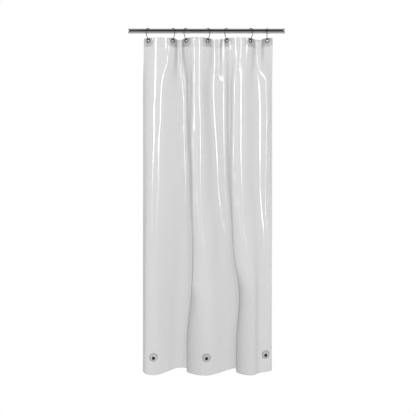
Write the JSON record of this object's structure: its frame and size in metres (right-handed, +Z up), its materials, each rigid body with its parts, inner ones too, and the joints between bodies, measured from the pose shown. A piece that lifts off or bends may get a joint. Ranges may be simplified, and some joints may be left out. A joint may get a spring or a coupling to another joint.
{
  "type": "shower curtain liner on a rod with hooks",
  "caption": "Clear plastic shower curtain liner hanging in uneven folds from open wire hooks on a straight rod, with a reinforced heading, metal eyelets and hem magnets.",
  "frame": {"origin": "centre of the rod's left end face", "axes": "+X along the rod to its right end, +Z up, -Y towards the room"},
  "size_m": [0.85, 0.1051, 1.8834],
  "materials": {
    "clear_film": "clear, glossy, slightly grey plastic film",
    "heading_film": "second layer of the same clear film",
    "pocket_film": "clear welded film",
    "eyelet_metal": "bright nickel plate",
    "hook_wire": "polished chrome wire",
    "rod_chrome": "polished chrome tube",
    "cap_plastic": "plain moulded grey",
    "magnet": "dark coated magnet"
  },
  "bodies": {
    "root": {"liner_panel": "clear_film", "heading_band": "heading_film", "eyelet_1": "eyelet_metal", "eyelet_2": "eyelet_metal", "eyelet_3": "eyelet_metal", "eyelet_4": "eyelet_metal", "eyelet_5": "eyelet_metal", "eyelet_6": "eyelet_metal", "eyelet_7": "eyelet_metal", "hook_1": "hook_wire", "hook_2": "hook_wire", "hook_3": "hook_wire", "hook_4": "hook_wire", "hook_5": "hook_wire", "hook_6": "hook_wire", "hook_7": "hook_wire", "magnet_1": "magnet", "magnet_2": "magnet", "magnet_3": "magnet", "magnet_pocket_1": "pocket_film", "magnet_pocket_2": "pocket_film", "magnet_pocket_3": "pocket_film", "rod": "rod_chrome", "rod_cap_left": "cap_plastic", "rod_cap_right": "cap_plastic"}
  },
  "joints": []
}
